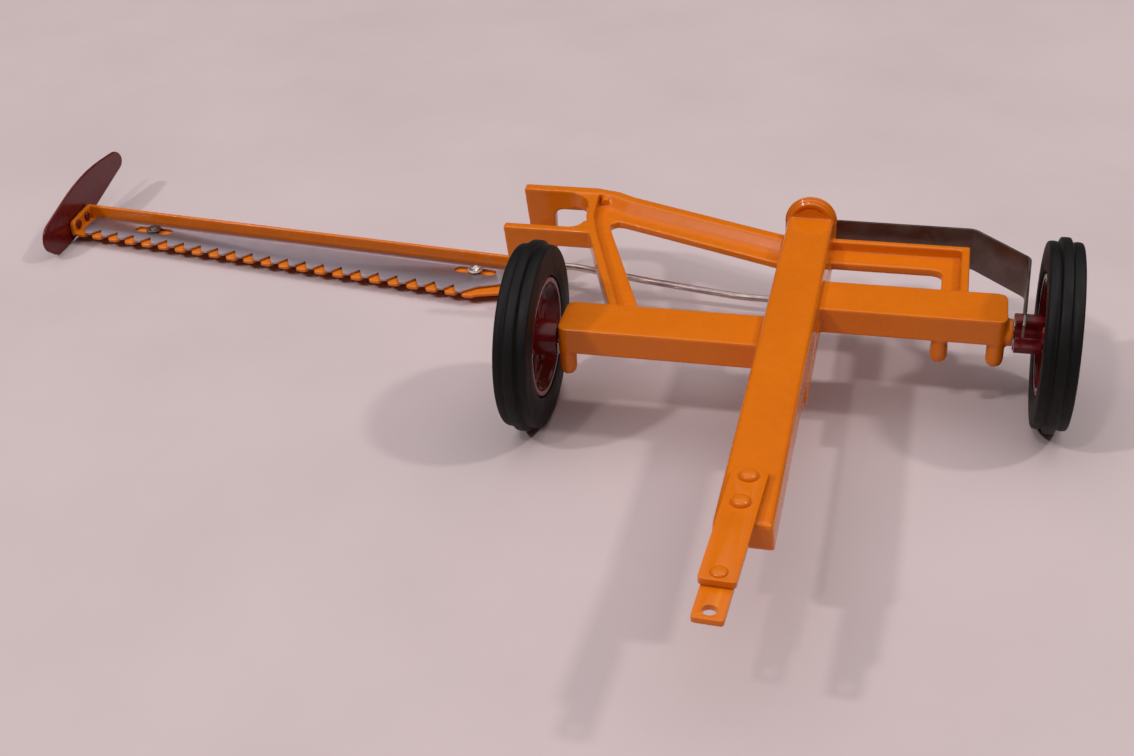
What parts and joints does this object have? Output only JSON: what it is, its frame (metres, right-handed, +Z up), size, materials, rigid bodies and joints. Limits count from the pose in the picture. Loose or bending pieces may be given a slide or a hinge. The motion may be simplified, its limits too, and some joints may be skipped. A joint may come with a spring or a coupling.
{
  "type": "pull-type mower",
  "caption": "Scale model of a pull-type sickle-bar mower: cast frame with drawbar, wheels, folding cutter bar, toothed knife and rocker drive.",
  "frame": {"origin": "on the floor, under the middle of the whole part's box", "axes": "+X to the mower's right, away from the cutter bar; +Y to the rear, away from the hitch; +Z up"},
  "size_m": [0.362, 0.2564, 0.057],
  "materials": {
    "orange_enamel": "glossy orange enamel over a cast or folded metal piece, with soft rounded edges",
    "dark_red_enamel": "glossy dark red enamel",
    "black_rubber": "satin black moulded rubber",
    "bright_steel": "bare plated sheet or wire, satin",
    "dark_steel": "blued or oil-blackened steel, satin"
  },
  "bodies": {
    "frame": {"frame_casting": "orange_enamel", "hitch_strap": "orange_enamel", "hitch_tab": "orange_enamel", "strap_rivet_rear": "orange_enamel", "strap_rivet_front": "orange_enamel", "tab_rivet": "orange_enamel", "axle_left": "bright_steel", "axle_right": "bright_steel", "axle_washer_left": "bright_steel", "axle_washer_right": "bright_steel", "rocker_pin": "dark_steel", "rocker_washer": "dark_steel", "hinge_pin_front": "dark_steel", "hinge_pin_rear": "dark_steel"},
    "wheel_left": {"tyre_left": "black_rubber", "wheel_disc_left": "dark_red_enamel"},
    "wheel_right": {"tyre_right": "black_rubber", "wheel_disc_right": "dark_red_enamel", "drive_star": "dark_red_enamel"},
    "bar": {"cutter_bar": "orange_enamel", "swath_board": "dark_red_enamel", "swath_rivet_1": "dark_red_enamel", "swath_rivet_2": "dark_red_enamel", "knife_rivet_inner": "bright_steel", "knife_rivet_outer": "dark_steel", "knife_washer_inner": "bright_steel", "knife_washer_outer": "dark_steel"},
    "knife": {"knife": "bright_steel"},
    "rocker": {"rocker_arm": "dark_steel"},
    "pitman": {"pitman_wire": "bright_steel"}
  },
  "joints": [
    {"name": "wheel_left_spin", "type": "hinge", "parent": "frame", "child": "wheel_left", "pos_m": [0.02513, -0.00271, 0.0285], "axis": [1, 0, 0], "continuous": true},
    {"name": "wheel_right_spin", "type": "hinge", "parent": "frame", "child": "wheel_right", "pos_m": [0.17528, 0.02039, 0.0285], "axis": [1, 0, 0], "continuous": true},
    {"name": "bar_fold", "type": "hinge", "parent": "frame", "child": "bar", "pos_m": [0.00713, 0.06929, 0.013], "axis": [0, 1, 0], "range_deg": [0, 90]},
    {"name": "rocker_swing", "type": "hinge", "parent": "frame", "child": "rocker", "pos_m": [0.10003, 0.06899, 0.0364], "axis": [0, -1, 0], "range_deg": [0, 3]},
    {"name": "pitman_slide", "type": "slide", "parent": "frame", "child": "pitman", "axis": [1, 0, 0], "range_m": [0, 0.0016]},
    {"name": "knife_slide", "type": "slide", "parent": "bar", "child": "knife", "axis": [0.9953, -0.0969, 0], "range_m": [0, 0.0016]}
  ],
  "couplings": [
    {"joint": "pitman_slide", "follows": "rocker_swing", "m_per_rad": 0.0294},
    {"joint": "knife_slide", "follows": "rocker_swing", "m_per_rad": 0.0294}
  ]
}
